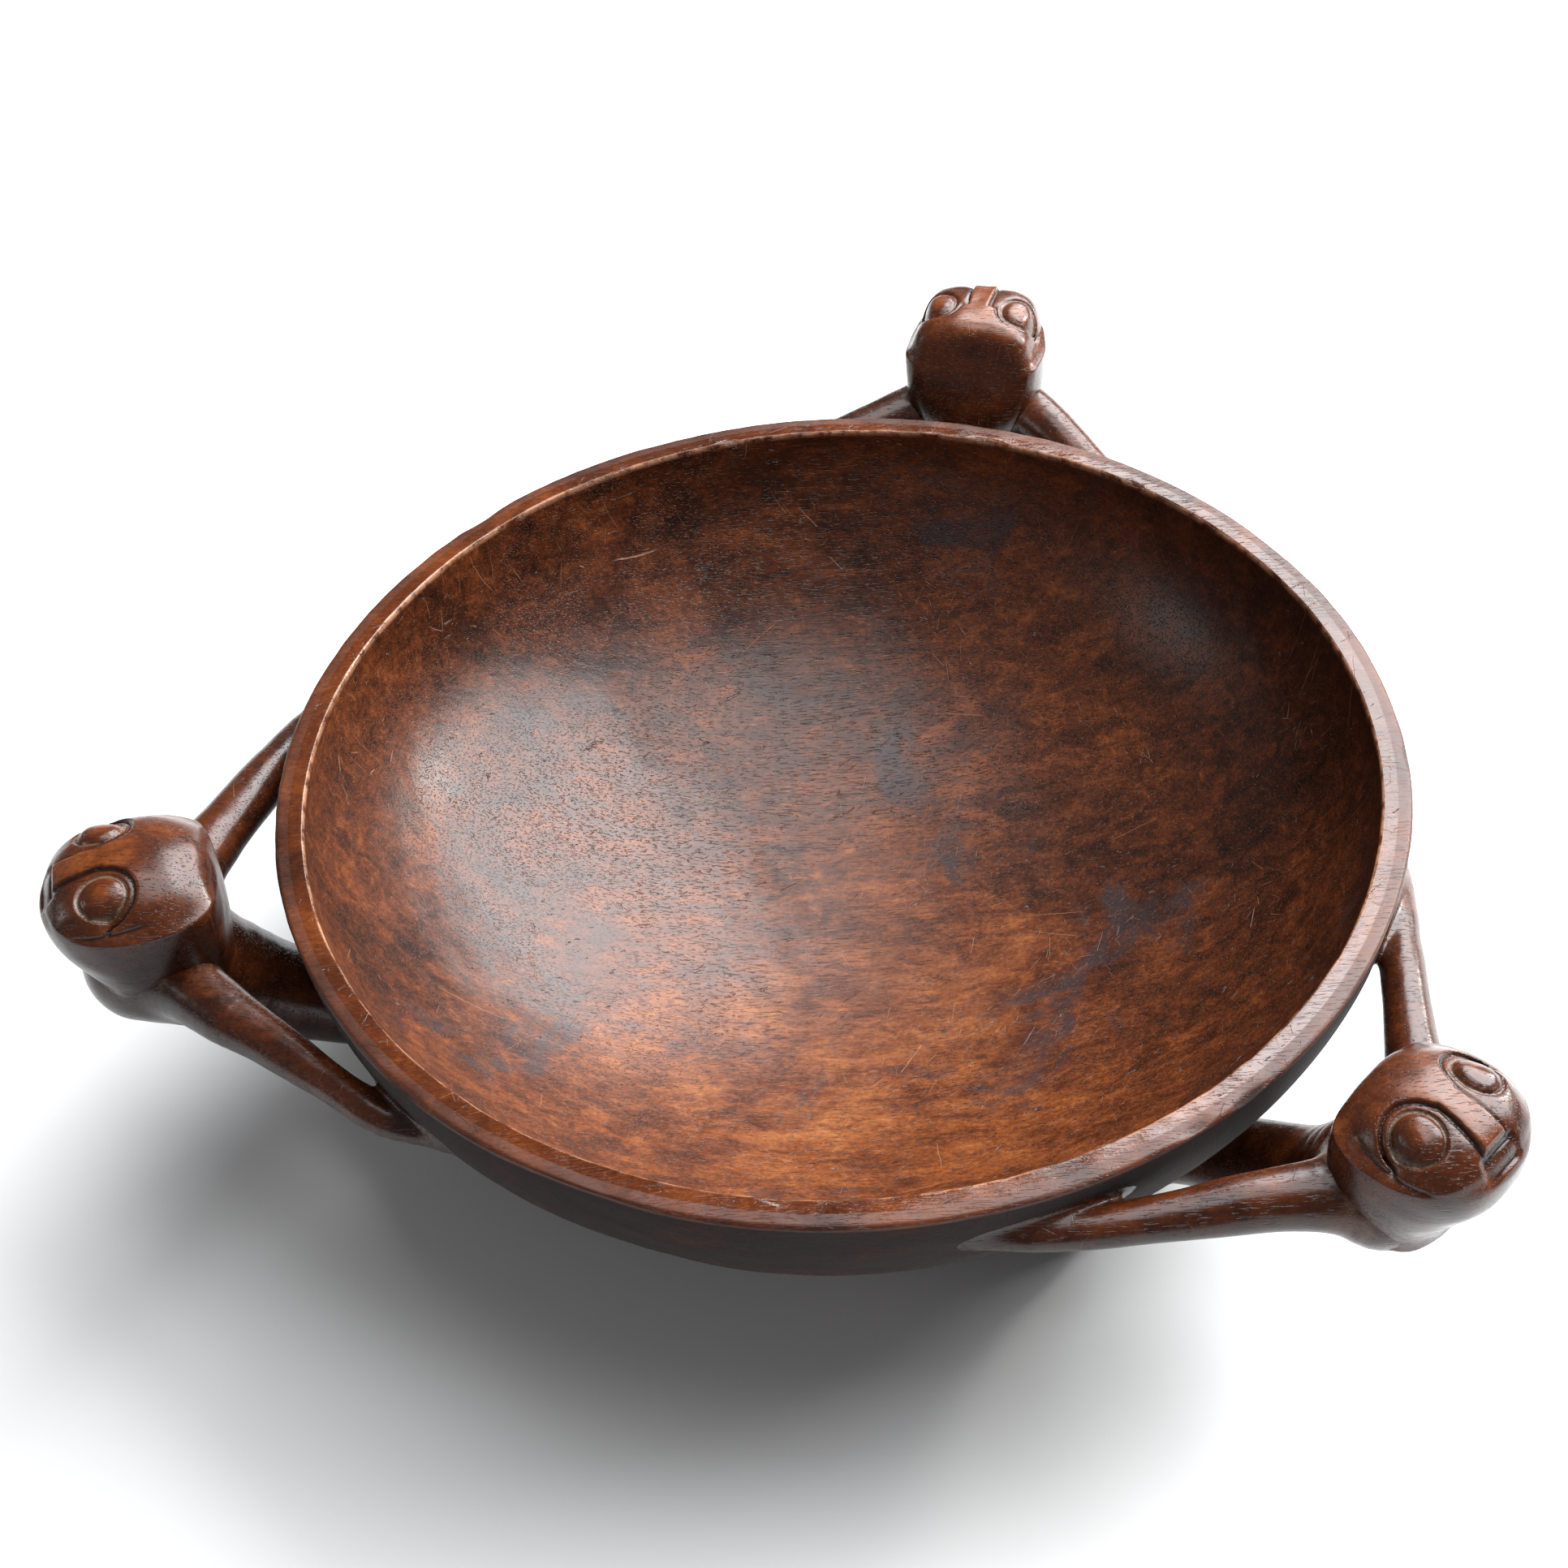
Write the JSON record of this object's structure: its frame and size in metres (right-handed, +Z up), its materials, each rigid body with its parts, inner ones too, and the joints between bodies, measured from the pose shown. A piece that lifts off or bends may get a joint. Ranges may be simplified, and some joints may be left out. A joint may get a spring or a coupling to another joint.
{
  "type": "carved wooden bowl",
  "caption": "Round carved wooden bowl carried by crouching figures whose ring-eyed heads stand outside the rim and whose arms reach along the wall.",
  "frame": {"origin": "centre of the bowl's flat base, on the surface that the bowl stands on", "axes": "+Z up along the bowl's axis; +Y towards the back figure; the other two figures are at 120 degrees to it"},
  "size_m": [0.4432, 0.4307, 0.1433],
  "materials": {
    "bowl_wood": "satin, waxed and worn, reddish brown",
    "head_wood": "polished by handling, dark reddish brown with lighter high points",
    "body_wood": "satin, very dark brown patina, polished on the arms"
  },
  "bodies": {
    "root": {"bowl": "bowl_wood", "back_figure_head": "head_wood", "back_figure_torso": "body_wood", "back_figure_left_arm": "body_wood", "back_figure_right_arm": "body_wood", "back_figure_left_leg": "body_wood", "back_figure_right_leg": "body_wood", "left_figure_head": "head_wood", "left_figure_torso": "body_wood", "left_figure_left_arm": "body_wood", "left_figure_right_arm": "body_wood", "left_figure_left_leg": "body_wood", "left_figure_right_leg": "body_wood", "right_figure_head": "head_wood", "right_figure_torso": "body_wood", "right_figure_left_arm": "body_wood", "right_figure_right_arm": "body_wood", "right_figure_left_leg": "body_wood", "right_figure_right_leg": "body_wood"}
  },
  "joints": []
}
